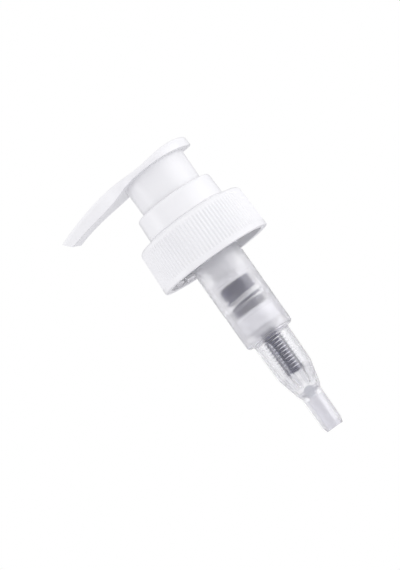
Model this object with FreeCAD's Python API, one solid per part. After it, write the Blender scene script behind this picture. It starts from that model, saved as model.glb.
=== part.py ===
"""Lock-down lotion dispenser pump for a 33 mm bottle neck, as an assembly of its moulded and wound pieces.

Millimetres. The origin lies on the pump's axis in the plane of the bottle's rim, +Z runs up the pump
and the spout points to -X. The pump is drawn pressed down, as it is packed.
"""
import FreeCAD
import Part
import math
import os

UP = FreeCAD.Vector(0, 0, 1)
ORIGIN = FreeCAD.Vector(0, 0, 0)
CHAMFER = "chamfer"

# Clearances between pieces
RUN = 0.05                    # radial gap of a sliding or turning fit
PLAY = 0.1                    # axial gap of a piece that has to turn or stop short
SEAM = 0.05                   # gap round a snapped-in cover
EDGE_BREAK = 0.2              # chamfer on moulded edges
PAST = 2.0                    # how far a cutting shape runs past what it cuts

# Travel
STROKE = 16.5                 # plunger, from pressed down to fully risen
PISTON_LIFT = 1.2             # piston along its shaft, valve shut to open
BALL_LIFT = 1.5               # inlet ball above its seat

# Gasket and housing flange, on the bottle's rim
CLOSURE_BORE_R = 16.7         # takes the bottle's thread
GASKET_INSET = 1.2            # gasket's edge inside the closure's bore
GASKET_THICK = 1.0
FLANGE_INSET = 0.5            # flange's edge inside the gasket's
FLANGE_THICK = 1.5

# Screw closure
SIDE_WALL = 1.8               # at the shoulder
SIDE_DRAFT = 0.5              # how much wider the rim is than the shoulder
SKIRT_DROP = 11.4             # rim below the gasket
TOP_WALL = 1.75
CREST_FALL = 0.75             # fall of the top from the collar to the shoulder's round
SHOULDER_ROUND = 1.6
GRIP_RIBS = 96
GRIP_DEPTH = 0.35
GRIP_FOOT = 0.8               # width of a rib at its foot and at its tip
GRIP_TIP = 0.35
BAND_HEIGHT = 1.7             # plain band below the ribs

# Housing's barrel and neck
BORE_R = 7.3
BARREL_WALL = 1.1
BARREL_DRAFT = 0.2
NECK_STEP = 0.1               # neck's radius over the barrel's
NECK_RISE = 1.2               # neck above the collar's floor
BEAD = 0.45                   # snap bead round the neck
BEAD_HEIGHT = 0.85
VENT_R = 0.5
VENT_DROP = 4.5               # air vent below the flange

# Locking collar, with the head's neck inside it
COLLAR_DEPTH = 6.95
COLLAR_SLOPE = 0.35           # fall of the top face from its bore to its edge
COLLAR_ROUND = 0.9
COLLAR_FLOOR_RISE = 0.85      # floor above the closure
COLLAR_WEB = 1.2
COLLAR_CLIP_WALL = 0.9        # ring that grips the housing's neck
COLLAR_BARREL_WALL = 1.1      # ring that the closure turns on
COLLAR_LEDGE = 1.3            # overhang on the closure
COLLAR_RIM = 1.9
COLLAR_DRAFT = 0.3
RIDGES = 3
RIDGE_ANGLE = 48.0
RIDGE_HEIGHT = 1.25
RIDGE_REACH = 0.6
LUG_ANGLE = 36.0
LUG_HEIGHT = 1.4
LUG_SIDE_GAP = 0.25
LUG_GAP = 0.15                # lug below the ridge when locked
FOOT_GAP = 0.3                # neck's foot above the collar's floor
NECK_WALL = 1.2
NECK_GAP = 0.3                # neck inside the ridges
NECK_PLAY = 0.25              # neck round the housing's bead
NECK_DRAFT = 0.35

# Plug and wiper seal in the barrel's mouth
PLUG_DEPTH = 7.25
PLUG_FLANGE = 0.9
SEAL_HEIGHT = 1.6
SEAL_WALL = 0.9

# Plunger
STEM_R = 4.2
STEM_WALL = 1.2
STEM_TOP_Z = 18.2
GROOVE_DROP = 3.2             # snap groove below the stem's top
STEM_GROOVE_DEPTH = 0.25
STEM_GROOVE_HEIGHT = 0.9
STEM_SHOULDER_HEIGHT = 2.75
SHOULDER_OVERHANG = 0.1       # shoulder beyond the upper spring
STEM_TUBE_LENGTH = 4.8        # below the shoulder
STEM_BORE_TAPER = 1.0
SHAFT_R = 3.3
SHAFT_LENGTH = 16.8           # from the stem's shoulder to the valve face
SHAFT_PLUG_LENGTH = 3.5
STEM_TUBE_WALL = 0.7
SHAFT_WALL = 0.9
VALVE_RING = 1.0              # valve face beyond the shaft
VALVE_THICK = 1.2
SPIGOT_LENGTH = 2.4
SPIGOT_LEAD = 0.6
INLET_SLOTS = 4
SLOT_WIDTH = 1.2

# Piston
PISTON_HEIGHT = 9.2
SKIRT_LIFT = 0.4              # lower lip above the valve face
SKIRT_GAP = 0.85              # cup inside the barrel
CUP_DEPTH = 3.3
CUP_WALL = 0.7
HUB_WALL = 1.0
HUB_DROP = 1.0                # hub's top below the upper lip
PISTON_WEB = 1.1
LIP_HEIGHT = 1.9
LIP_EDGE = 0.35

# Springs
CUP_PLAY = 0.45               # upper spring inside the piston's cup
WIDE_WIRE_R = 0.4
WIDE_CLOSED_PITCH = 0.86
WIDE_TOP_CLOSED = 4.2
WIDE_OPEN = 1.4
WIDE_FOOT_CLOSED = 3.0
NARROW_COIL_R = 2.9
NARROW_WIRE_R = 0.375
NARROW_CLOSED_PITCH = 0.79
NARROW_CLOSED = 1.0
NARROW_OPEN = 11.5
NARROW_LENGTH = 15.6          # pressed down
SPRING_GAP = 0.2              # beside the guide ribs and the spigot
FACETS_PER_TURN = 12
WIRE_FACETS = 6

# Housing's step, spring chamber and ball cone
FLOOR_CLEAR = 2.15            # barrel's floor below the piston
STEP_FLOOR = 0.95
STEP_IN = 1.15                # chamber's outside within the barrel's bore
STEP_ROUND = 1.1
STEP_LEDGE = 0.45             # small ledge round the step's outer edge
STEP_LEDGE_DROP = 0.35
WALL = 1.0
CHAMBER_DRAFT = 0.2
CHAMBER_FOOT_RISE = 0.8       # foot of the chamber above the spring's seat
CHAMBER_FOOT_ROUND = 6.0
CONE_HEIGHT = 7.4
CONE_FOOT_ROUND = 1.0
SEAT_WELL = 0.4               # straight run between the cone and the ball's seat
INLET_R = 1.3
INLET_LENGTH = 0.7
GUIDE_RIBS = 6
GUIDE_RIB_WIDTH = 0.8
GUIDE_RIB_TURN = 13.0         # degrees that the rib pattern is turned from the spout's plane
GUIDE_TOP_DROP = 1.5
GUIDE_FLARE_DROP = 1.6
GUIDE_FLARE_ROUND = 3.0
BALL_R = 2.0
BALL_STOP = 0.15              # reach of the ribs over the ball

# Tail with the dip tube's socket
TUBE_SOCKET_R = 2.5
TUBE_SOCKET_DEPTH = 11.0
TAIL_WALL = 0.9
TAIL_DRAFT = 0.1
TAIL_END_WALL = 0.3
TAIL_TAPER = 1.7
TAIL_BLEND = 1.4              # from the cone's foot to the tail
TAIL_STEP = 0.7

# Head
PAD_R = 13.9                  # round thumb pad
PAD_BLEND_ANGLE = 125.0       # where the spout's sides leave the pad, in degrees from the back
BACK_RUN = 0.7                # profile behind the pad
SPOUT_WAIST_X = -25.0
SPOUT_WAIST = 5.0             # half width
SPOUT_ROOT_X = -17.0
SPOUT_ROOT = 6.4
SPOUT_TIP = 5.7
TIP_FLARE = 0.09              # slope of the spout's side at its tip
TIP_TOP = (-36.3, 20.35)
TIP_FOOT = (-33.8, 17.8)
TOP_LINE = ((-27.8, 23.1), (-12.0, 25.1), (0.5, 24.5), (PAD_R - 1.9, 25.75), (PAD_R + BACK_RUN, 25.3))
LOWER_LINE = ((-27.8, 19.15), (-15.6, 20.8), (-4.8, 22.45), (2.0, 22.8), (PAD_R - 3.9, 22.75),
              (PAD_R + BACK_RUN, 22.1))
EDGE_ROUND = 1.2
COVER_WALL = 1.2
COVER_SKIN = 0.8
PLATE = 0.85                  # underside plate of the spout and pad
NOSE = 0.8                    # end wall round the outlet
NECK_JOIN_Z = 22.0            # where the neck meets the underside
DUCT_HALF = 2.2
DUCT_WALL = 0.9
DUCT_LIFT = 1.7               # duct's floor above the stem
DUCT_RISE = 2.2               # from that floor up to the spout's
DUCT_LEAVES_X = -9.3
SOCKET_WALL = 1.15
SOCKET_CLEAR = 1.1            # stem socket above the plug

# Radii that follow from the sizes above, from the barrel outwards
BARREL_TOP_R = BORE_R + BARREL_WALL
BARREL_FOOT_R = BARREL_TOP_R - BARREL_DRAFT
NECK_R = BARREL_TOP_R + NECK_STEP
CLIP_R = NECK_R + PLAY
HEAD_NECK_BORE_R = NECK_R + BEAD + NECK_PLAY
NECK_FOOT_OUTER_R = HEAD_NECK_BORE_R + NECK_WALL
NECK_TOP_OUTER_R = NECK_FOOT_OUTER_R + NECK_DRAFT
RIDGE_BORE_R = NECK_FOOT_OUTER_R + NECK_GAP
COLLAR_BORE_R = RIDGE_BORE_R + RIDGE_REACH
LUG_R = COLLAR_BORE_R - LUG_SIDE_GAP
COLLAR_TOP_R = COLLAR_BORE_R + COLLAR_RIM
COLLAR_BASE_R = COLLAR_TOP_R + COLLAR_DRAFT
CLOSURE_HOLE_R = COLLAR_BASE_R - COLLAR_LEDGE
COLLAR_BARREL_R = CLOSURE_HOLE_R - 2 * PLAY
GASKET_R = CLOSURE_BORE_R - GASKET_INSET
FLANGE_R = GASKET_R - FLANGE_INSET
SHOULDER_R = CLOSURE_BORE_R + SIDE_WALL
RIM_R = SHOULDER_R + SIDE_DRAFT
CUP_BORE_R = BORE_R - SKIRT_GAP - CUP_WALL
WIDE_COIL_R = CUP_BORE_R - CUP_PLAY
STEM_SHOULDER_R = WIDE_COIL_R + SHOULDER_OVERHANG
STEM_BORE_R = STEM_R - STEM_WALL
SHAFT_PLUG_R = SHAFT_R - STEM_TUBE_WALL
SHAFT_BORE_R = SHAFT_PLUG_R - SHAFT_WALL
VALVE_R = SHAFT_R + VALVE_RING
SPIGOT_R = NARROW_COIL_R - 2 * NARROW_WIRE_R - SPRING_GAP
CHAMBER_TOP_R = BORE_R - STEP_IN
CHAMBER_FOOT_R = CHAMBER_TOP_R - CHAMBER_DRAFT
BALL_STOP_R = BALL_R - BALL_STOP
TAIL_TOP_R = TUBE_SOCKET_R + TAIL_WALL
TAIL_FOOT_R = TAIL_TOP_R - TAIL_DRAFT
TAIL_END_R = TUBE_SOCKET_R + TAIL_END_WALL
CONE_FOOT_R = TAIL_TOP_R + TAIL_STEP

# Heights that follow from the sizes above, up from the bottle's rim
FLANGE_Z = GASKET_THICK
COLLAR_SEAT_Z = FLANGE_Z + FLANGE_THICK
CLOSURE_UNDER_Z = COLLAR_SEAT_Z + PLAY
CLOSURE_CREST_Z = CLOSURE_UNDER_Z + TOP_WALL
CLOSURE_EDGE_Z = CLOSURE_CREST_Z - CREST_FALL
SHOULDER_Z = CLOSURE_EDGE_Z - SHOULDER_ROUND
RIM_Z = -SKIRT_DROP
COLLAR_FLOOR_Z = CLOSURE_CREST_Z + COLLAR_FLOOR_RISE
COLLAR_TOP_Z = COLLAR_FLOOR_Z + COLLAR_DEPTH
NECK_TOP_Z = COLLAR_FLOOR_Z + NECK_RISE
NECK_FOOT_Z = COLLAR_FLOOR_Z + FOOT_GAP
RIDGE_Z = NECK_FOOT_Z + LUG_HEIGHT + LUG_GAP
SOCKET_FOOT_Z = NECK_TOP_Z + PLUG_FLANGE + SOCKET_CLEAR
STEM_GROOVE_Z = STEM_TOP_Z - GROOVE_DROP
DUCT_FLOOR_Z = STEM_TOP_Z + DUCT_LIFT
NECK_END_Z = max(z for x, z in LOWER_LINE) + PLATE / 2
HEAD_SPAN = 2 * (PAD_R + PAST)
HEAD_LOW_Z = TIP_FOOT[1] - PAST
HEAD_HIGH_Z = max(z for x, z in TOP_LINE) + PAST

# Heights that follow from the sizes above, down through the plunger and the barrel
PLUG_FOOT_Z = NECK_TOP_Z - PLUG_DEPTH
SHOULDER_TOP_Z = PLUG_FOOT_Z - PLAY - STROKE
WIDE_TOP_Z = SHOULDER_TOP_Z - STEM_SHOULDER_HEIGHT
SHAFT_JOINT_Z = WIDE_TOP_Z - STEM_TUBE_LENGTH
VALVE_Z = WIDE_TOP_Z - SHAFT_LENGTH
NARROW_TOP_Z = VALVE_Z - VALVE_THICK
LOWER_LIP_Z = VALVE_Z + SKIRT_LIFT
PISTON_TOP_Z = LOWER_LIP_Z + PISTON_HEIGHT
CUP_FLOOR_Z = PISTON_TOP_Z - CUP_DEPTH
BARREL_FLOOR_Z = LOWER_LIP_Z - FLOOR_CLEAR
STEP_Z = BARREL_FLOOR_Z - STEP_FLOOR
GUIDE_FLARE_TOP_Z = STEP_Z - GUIDE_TOP_DROP
SPRING_SEAT_Z = NARROW_TOP_Z - NARROW_LENGTH
CHAMBER_FOOT_Z = SPRING_SEAT_Z + CHAMBER_FOOT_RISE
CONE_FOOT_Z = CHAMBER_FOOT_Z - CONE_HEIGHT
BALL_SEAT_Z = CONE_FOOT_Z - SEAT_WELL - (CONE_FOOT_R - WALL - INLET_R)
BALL_Z = BALL_SEAT_Z - INLET_R + BALL_R * math.sqrt(2)
TUBE_STOP_Z = BALL_SEAT_Z - INLET_LENGTH
TAIL_TOP_Z = CONE_FOOT_Z - TAIL_BLEND
TAIL_END_Z = TUBE_STOP_Z - TUBE_SOCKET_DEPTH
TAIL_TAPER_Z = TAIL_END_Z + TAIL_TAPER


def flat(point):
    """A point of the X-Z plane."""
    return FreeCAD.Vector(point[0], 0, point[1])


def outline(corners):
    """A closed wire in the X-Z plane through corners (x, z), (x, z, radius) or (x, z, size, CHAMFER)."""
    joins = []
    for i, corner in enumerate(corners):
        here = flat(corner)
        if len(corner) == 2:
            joins.append((here, here, None))
            continue
        to_last = (flat(corners[i - 1]) - here).normalize()
        to_next = (flat(corners[(i + 1) % len(corners)]) - here).normalize()
        half = to_last.getAngle(to_next) / 2
        size = corner[2]
        if corner[3:] == (CHAMFER,):
            start, end = here + to_last * size, here + to_next * size
            joins.append((start, end, Part.makeLine(start, end)))
            continue
        start, end = (here + way * (size / math.tan(half)) for way in (to_last, to_next))
        crown = here + (to_last + to_next).normalize() * (size / math.sin(half) - size)
        joins.append((start, end, Part.Arc(start, crown, end).toShape()))
    edges = []
    for i, (_, end, edge) in enumerate(joins):
        if edge:
            edges.append(edge)
        following = joins[(i + 1) % len(joins)][0]
        if (following - end).Length > 1e-6:
            edges.append(Part.makeLine(end, following))
    return Part.Wire(edges)


def turned(corners):
    """A solid of revolution about the pump's axis, from corners (r, z[, radius])."""
    return Part.Face(outline(corners)).revolve(ORIGIN, UP, 360)


def plate_of(corners, thickness):
    """A flat plate of this outline, centred on the X-Z plane."""
    face = Part.Face(outline(corners))
    face.translate(FreeCAD.Vector(0, -thickness / 2, 0))
    return face.extrude(FreeCAD.Vector(0, thickness, 0))


def drum(radius, low, high):
    return Part.makeCylinder(radius, high - low, FreeCAD.Vector(0, 0, low))


def slab(x_low, x_high, half_width, z_low, z_high):
    corner = FreeCAD.Vector(x_low, -half_width, z_low)
    return Part.makeBox(x_high - x_low, 2 * half_width, z_high - z_low, corner)


def around(shape, angle):
    copy = shape.copy()
    copy.rotate(ORIGIN, UP, angle)
    return copy


def ring_of(shape, count, first=0.0):
    """Copies of a shape, evenly round the pump's axis."""
    return [around(shape, first + 360.0 * i / count) for i in range(count)]


def sector(r_inner, r_outer, low, high, angle):
    """A piece of a ring, centred on the X axis."""
    wedge = Part.makeCylinder(r_outer, high - low, FreeCAD.Vector(0, 0, low), UP, angle)
    return around(wedge.cut(drum(r_inner, low, high)), -angle / 2)


def coil(outer_r, wire_r, low, high, closed_pitch, foot_closed, open_turns, top_closed):
    """A wound wire spring between two planes, closed at its ends, with facets along and round the wire."""
    mean_r = outer_r - wire_r
    rise = high - low - 2 * wire_r - closed_pitch * (foot_closed + top_closed)
    turns = foot_closed + open_turns + top_closed
    sections = []
    for i in range(round(turns * FACETS_PER_TURN) + 1):
        turn = i / FACETS_PER_TURN
        opened = min(max((turn - foot_closed) / open_turns, 0.0), 1.0)
        z = low + wire_r + closed_pitch * (turn - opened * open_turns) + rise * opened
        corners = []
        for k in range(WIRE_FACETS):
            angle = 2 * math.pi * (k + 0.5) / WIRE_FACETS
            corners.append(FreeCAD.Vector(mean_r + wire_r * math.cos(angle), 0, z + wire_r * math.sin(angle)))
        section = Part.makePolygon(corners + corners[:1])
        section.rotate(ORIGIN, UP, 360 * turn)
        sections.append(section)
    return Part.makeLoft(sections, True, True)


def closure_radius(z):
    """Outer radius of the closure's drafted side."""
    return SHOULDER_R + (RIM_R - SHOULDER_R) * (SHOULDER_Z - z) / (SHOULDER_Z - RIM_Z)


def grip():
    """The ribbed side of the closure as a drafted solid of plane faces."""
    corners = []
    for i in range(GRIP_RIBS):
        middle = 2 * math.pi * i / GRIP_RIBS
        for depth, width in ((GRIP_DEPTH, -GRIP_FOOT), (0, -GRIP_TIP), (0, GRIP_TIP), (GRIP_DEPTH, GRIP_FOOT)):
            angle = middle + width / (2 * RIM_R)
            corners.append(FreeCAD.Vector(math.cos(angle), math.sin(angle), 0) * (1 - depth / RIM_R))
    rings = []
    for z in (RIM_Z + BAND_HEIGHT, SHOULDER_Z):
        ring = [corner * closure_radius(z) + UP * z for corner in corners]
        rings.append(ring + ring[:1])
    low, high = rings
    faces = [Part.Face(Part.makePolygon(ring)) for ring in rings]
    for i in range(len(corners)):
        faces.append(Part.Face(Part.makePolygon([low[i], low[i + 1], high[i + 1], high[i], low[i]])))
    return Part.Solid(Part.Shell(faces))


def closure():
    """Screw cap: a drafted skirt with grip ribs, a plain band at its rim and a holed top."""
    band_z = RIM_Z + BAND_HEIGHT
    core = 2 * GRIP_DEPTH
    shell = turned([
        (CLOSURE_BORE_R, RIM_Z),
        (RIM_R, RIM_Z, EDGE_BREAK, CHAMFER),
        (closure_radius(band_z), band_z, EDGE_BREAK, CHAMFER),
        (closure_radius(band_z) - core, band_z),
        (SHOULDER_R - core, SHOULDER_Z),
        (SHOULDER_R, SHOULDER_Z),
        (SHOULDER_R, CLOSURE_EDGE_Z, SHOULDER_ROUND),
        (COLLAR_BASE_R, CLOSURE_CREST_Z),
        (CLOSURE_HOLE_R, CLOSURE_CREST_Z),
        (CLOSURE_HOLE_R, CLOSURE_UNDER_Z),
        (CLOSURE_BORE_R, CLOSURE_UNDER_Z),
    ])
    middle_r = (CLOSURE_BORE_R + SHOULDER_R - core) / 2
    return shell.fuse(grip().cut(drum(middle_r, RIM_Z, CLOSURE_CREST_Z))).removeSplitter()


def locking_collar():
    """Ring that clips round the housing's neck, holds the closure on and takes the head's lugs."""
    barrel_in = COLLAR_BARREL_R - COLLAR_BARREL_WALL
    clip_out = CLIP_R + COLLAR_CLIP_WALL
    web_z = COLLAR_FLOOR_Z - COLLAR_WEB
    ring = turned([
        (CLIP_R, COLLAR_SEAT_Z),
        (clip_out, COLLAR_SEAT_Z),
        (clip_out, web_z),
        (barrel_in, web_z),
        (barrel_in, COLLAR_SEAT_Z),
        (COLLAR_BARREL_R, COLLAR_SEAT_Z),
        (COLLAR_BARREL_R, CLOSURE_CREST_Z + PLAY),
        (COLLAR_BASE_R, CLOSURE_CREST_Z + PLAY, EDGE_BREAK, CHAMFER),
        (COLLAR_TOP_R, COLLAR_TOP_Z - COLLAR_SLOPE, COLLAR_ROUND),
        (COLLAR_BORE_R, COLLAR_TOP_Z, EDGE_BREAK, CHAMFER),
        (COLLAR_BORE_R, COLLAR_FLOOR_Z),
        (CLIP_R, COLLAR_FLOOR_Z),
    ])
    middle_r = (COLLAR_BORE_R + COLLAR_TOP_R) / 2
    ridge = sector(RIDGE_BORE_R, middle_r, RIDGE_Z, RIDGE_Z + RIDGE_HEIGHT, RIDGE_ANGLE)
    return ring.fuse(ring_of(ridge, RIDGES, 180.0 / RIDGES)).removeSplitter()


def neck_gasket():
    """Soft washer between the housing's flange and the bottle's rim."""
    return drum(GASKET_R, 0, GASKET_THICK).cut(drum(BARREL_TOP_R + PLAY, 0, GASKET_THICK))


def housing_inner_wall():
    """Corners of the housing's inside, from the neck's mouth down to the tube socket."""
    return [
        (BORE_R, NECK_TOP_Z),
        (BORE_R, BARREL_FLOOR_Z),
        (CHAMBER_TOP_R - WALL, BARREL_FLOOR_Z),
        (CHAMBER_FOOT_R - WALL, CHAMBER_FOOT_Z),
        (CONE_FOOT_R - WALL, CONE_FOOT_Z),
        (CONE_FOOT_R - WALL, CONE_FOOT_Z - SEAT_WELL),
        (INLET_R, BALL_SEAT_Z),
        (INLET_R, TUBE_STOP_Z),
        (TUBE_SOCKET_R, TUBE_STOP_Z),
        (TUBE_SOCKET_R, TAIL_END_Z),
    ]


def guide_rib():
    """One rib of the spring chamber: flared at its top, a ledge for the spring, a foot over the ball."""
    root = WALL / 2
    inner = NARROW_COIL_R + SPRING_GAP
    foot_z = BALL_Z + BALL_LIFT + RUN + math.sqrt(BALL_R**2 - BALL_STOP_R**2)
    slope = (CHAMBER_FOOT_R - CONE_FOOT_R) / (CHAMBER_FOOT_Z - CONE_FOOT_Z)
    foot_r = CHAMBER_FOOT_R - slope * (CHAMBER_FOOT_Z - foot_z)
    return plate_of([
        (CHAMBER_TOP_R - root, GUIDE_FLARE_TOP_Z),
        (CHAMBER_TOP_R - WALL, GUIDE_FLARE_TOP_Z),
        (inner, GUIDE_FLARE_TOP_Z - GUIDE_FLARE_DROP, GUIDE_FLARE_ROUND),
        (inner, SPRING_SEAT_Z),
        (BALL_STOP_R, SPRING_SEAT_Z),
        (BALL_STOP_R, foot_z),
        (foot_r - root, foot_z),
        (CHAMBER_FOOT_R - root, CHAMBER_FOOT_Z),
    ], GUIDE_RIB_WIDTH)


def pump_housing():
    """Translucent barrel: flange, clip neck, step, ribbed spring chamber, ball cone and dip tube socket."""
    step_foot_z = STEP_Z - STEP_LEDGE_DROP
    bead_z = COLLAR_FLOOR_Z + RUN
    barrel = turned([
        (BARREL_TOP_R, FLANGE_Z),
        (FLANGE_R, FLANGE_Z),
        (FLANGE_R, COLLAR_SEAT_Z),
        (NECK_R, COLLAR_SEAT_Z),
        (NECK_R, bead_z),
        (NECK_R + BEAD, bead_z),
        (NECK_R + BEAD / 2, bead_z + BEAD_HEIGHT),
        (NECK_R, NECK_TOP_Z),
        *housing_inner_wall(),
        (TAIL_END_R, TAIL_END_Z),
        (TAIL_FOOT_R, TAIL_TAPER_Z),
        (TAIL_TOP_R, TAIL_TOP_Z),
        (CONE_FOOT_R, CONE_FOOT_Z, CONE_FOOT_ROUND),
        (CHAMBER_FOOT_R, CHAMBER_FOOT_Z, CHAMBER_FOOT_ROUND),
        (CHAMBER_TOP_R, step_foot_z, STEP_ROUND),
        (BARREL_FOOT_R - STEP_LEDGE, step_foot_z),
        (BARREL_FOOT_R - STEP_LEDGE, STEP_Z),
        (BARREL_FOOT_R, STEP_Z, EDGE_BREAK, CHAMFER),
    ])
    ribs = ring_of(guide_rib(), GUIDE_RIBS, GUIDE_RIB_TURN)
    vent_start = FreeCAD.Vector(0, 0, FLANGE_Z - VENT_DROP)
    vent = Part.makeCylinder(VENT_R, BARREL_TOP_R + PAST, vent_start, FreeCAD.Vector(1, 0, 0))
    return barrel.fuse(ribs).cut(vent).removeSplitter()


def inner_plug():
    """Guide in the barrel's mouth: it centres the stem and stops its shoulder."""
    guide_r = STEM_R + RUN
    pocket_r = guide_r + SEAL_WALL
    return turned([
        (guide_r, NECK_TOP_Z + PLUG_FLANGE, EDGE_BREAK, CHAMFER),
        (NECK_R, NECK_TOP_Z + PLUG_FLANGE, EDGE_BREAK, CHAMFER),
        (NECK_R, NECK_TOP_Z),
        (BORE_R, NECK_TOP_Z),
        (BORE_R, PLUG_FOOT_Z, EDGE_BREAK, CHAMFER),
        (pocket_r, PLUG_FOOT_Z),
        (pocket_r, PLUG_FOOT_Z + SEAL_HEIGHT),
        (guide_r, PLUG_FOOT_Z + SEAL_HEIGHT),
    ])


def stem_seal():
    """Wiper ring in the plug's foot, with a relieved middle."""
    inner = STEM_R + RUN
    outer = inner + SEAL_WALL
    top = PLUG_FOOT_Z + SEAL_HEIGHT
    lip = SEAL_HEIGHT / 3
    relief = SEAL_WALL / 3
    return turned([
        (inner, top),
        (outer, top),
        (outer, PLUG_FOOT_Z),
        (inner, PLUG_FOOT_Z),
        (inner, PLUG_FOOT_Z + lip),
        (inner + relief, PLUG_FOOT_Z + SEAL_HEIGHT / 2),
        (inner, top - lip),
    ])


def stem():
    """Hollow rod: snap groove at the top, spring shoulder, and a lower tube that takes the piston's shaft."""
    groove_r = STEM_R - STEM_GROOVE_DEPTH
    return turned([
        (STEM_BORE_R, STEM_TOP_Z),
        (STEM_R, STEM_TOP_Z, EDGE_BREAK, CHAMFER),
        (STEM_R, STEM_GROOVE_Z + STEM_GROOVE_HEIGHT),
        (groove_r, STEM_GROOVE_Z + STEM_GROOVE_HEIGHT),
        (groove_r, STEM_GROOVE_Z),
        (STEM_R, STEM_GROOVE_Z),
        (STEM_R, SHOULDER_TOP_Z),
        (STEM_SHOULDER_R, SHOULDER_TOP_Z, EDGE_BREAK, CHAMFER),
        (STEM_SHOULDER_R, WIDE_TOP_Z),
        (SHAFT_R, WIDE_TOP_Z),
        (SHAFT_R, SHAFT_JOINT_Z),
        (SHAFT_PLUG_R, SHAFT_JOINT_Z),
        (SHAFT_PLUG_R, WIDE_TOP_Z - RUN),
        (STEM_BORE_R, WIDE_TOP_Z + STEM_BORE_TAPER),
    ])


def piston_shaft():
    """Plug in the stem's foot: the piston runs on it, its flange is the valve face and the spring's seat."""
    shaft = turned([
        (SHAFT_BORE_R, SHAFT_JOINT_Z + SHAFT_PLUG_LENGTH),
        (SHAFT_PLUG_R, SHAFT_JOINT_Z + SHAFT_PLUG_LENGTH, EDGE_BREAK, CHAMFER),
        (SHAFT_PLUG_R, SHAFT_JOINT_Z),
        (SHAFT_R, SHAFT_JOINT_Z),
        (SHAFT_R, VALVE_Z),
        (VALVE_R, VALVE_Z),
        (VALVE_R, NARROW_TOP_Z, EDGE_BREAK, CHAMFER),
        (SPIGOT_R, NARROW_TOP_Z),
        (SPIGOT_R, NARROW_TOP_Z - SPIGOT_LENGTH, SPIGOT_LEAD, CHAMFER),
        (0, NARROW_TOP_Z - SPIGOT_LENGTH),
        (0, VALVE_Z),
        (SHAFT_BORE_R, VALVE_Z),
    ])
    slot = slab(0, SHAFT_R + PAST, SLOT_WIDTH / 2, VALVE_Z, VALVE_Z + PISTON_LIFT)
    return shaft.cut(ring_of(slot, INLET_SLOTS, 180.0 / INLET_SLOTS))


def piston():
    """Double-lipped piston: a spring cup with a lip up, a skirt with a lip down and a sliding hub."""
    hub_in = SHAFT_R + RUN
    hub_out = hub_in + HUB_WALL
    cup_out = CUP_BORE_R + CUP_WALL
    lip_r = BORE_R - RUN
    web_z = CUP_FLOOR_Z - PISTON_WEB
    return turned([
        (hub_in, PISTON_TOP_Z - HUB_DROP),
        (hub_out, PISTON_TOP_Z - HUB_DROP, EDGE_BREAK, CHAMFER),
        (hub_out, CUP_FLOOR_Z),
        (CUP_BORE_R, CUP_FLOOR_Z),
        (CUP_BORE_R, PISTON_TOP_Z - LIP_HEIGHT),
        (lip_r - LIP_EDGE, PISTON_TOP_Z),
        (lip_r, PISTON_TOP_Z),
        (lip_r, PISTON_TOP_Z - LIP_EDGE),
        (cup_out, PISTON_TOP_Z - LIP_HEIGHT - LIP_EDGE),
        (cup_out, LOWER_LIP_Z + LIP_HEIGHT + LIP_EDGE),
        (lip_r, LOWER_LIP_Z + LIP_EDGE),
        (lip_r, LOWER_LIP_Z),
        (lip_r - LIP_EDGE, LOWER_LIP_Z),
        (CUP_BORE_R, LOWER_LIP_Z + LIP_HEIGHT),
        (CUP_BORE_R, web_z, EDGE_BREAK, CHAMFER),
        (hub_out, web_z, EDGE_BREAK, CHAMFER),
        (hub_out, VALVE_Z),
        (hub_in, VALVE_Z),
    ])


def piston_spring():
    """Wide coil between the stem's shoulder and the piston's cup."""
    return coil(WIDE_COIL_R, WIDE_WIRE_R, CUP_FLOOR_Z, WIDE_TOP_Z,
                WIDE_CLOSED_PITCH, WIDE_FOOT_CLOSED, WIDE_OPEN, WIDE_TOP_CLOSED)


def return_spring():
    """Narrow coil between the chamber's ledge and the piston shaft, which lifts the plunger."""
    return coil(NARROW_COIL_R, NARROW_WIRE_R, SPRING_SEAT_Z, NARROW_TOP_Z,
                NARROW_CLOSED_PITCH, NARROW_CLOSED, NARROW_OPEN, NARROW_CLOSED)


def check_ball():
    """Inlet valve ball on its seat."""
    return Part.makeSphere(BALL_R, FreeCAD.Vector(0, 0, BALL_Z))


def leaf(inset):
    """The head's plan, drawn in by inset: a round pad that runs into a waisted spout."""
    radius = PAD_R - inset
    angle = math.radians(PAD_BLEND_ANGLE)
    leave = FreeCAD.Vector(radius * math.cos(angle), radius * math.sin(angle), 0)
    heading = FreeCAD.Vector(-math.sin(angle), math.cos(angle), 0)
    root = FreeCAD.Vector(SPOUT_ROOT_X, SPOUT_ROOT - inset, 0)
    waist = FreeCAD.Vector(SPOUT_WAIST_X, SPOUT_WAIST - inset, 0)
    tip = FreeCAD.Vector(TIP_TOP[0] - PAST, SPOUT_TIP - inset, 0)
    side = Part.BSplineCurve()
    side.interpolate([leave, root, waist, tip], InitialTangent=heading,
                     FinalTangent=FreeCAD.Vector(-1, TIP_FLARE, 0))
    far = side.toShape()
    near = far.mirror(ORIGIN, FreeCAD.Vector(0, 1, 0))
    back = Part.Arc(leave, FreeCAD.Vector(radius, 0, 0), FreeCAD.Vector(leave.x, -leave.y, 0)).toShape()
    end = Part.makeLine(tip, FreeCAD.Vector(tip.x, -tip.y, 0))
    face = Part.Face(Part.Wire(Part.__sortEdges__([far, near, back, end])))
    face.translate(FreeCAD.Vector(0, 0, HEAD_LOW_Z))
    return face.extrude(FreeCAD.Vector(0, 0, HEAD_HIGH_Z - HEAD_LOW_Z))


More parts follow.
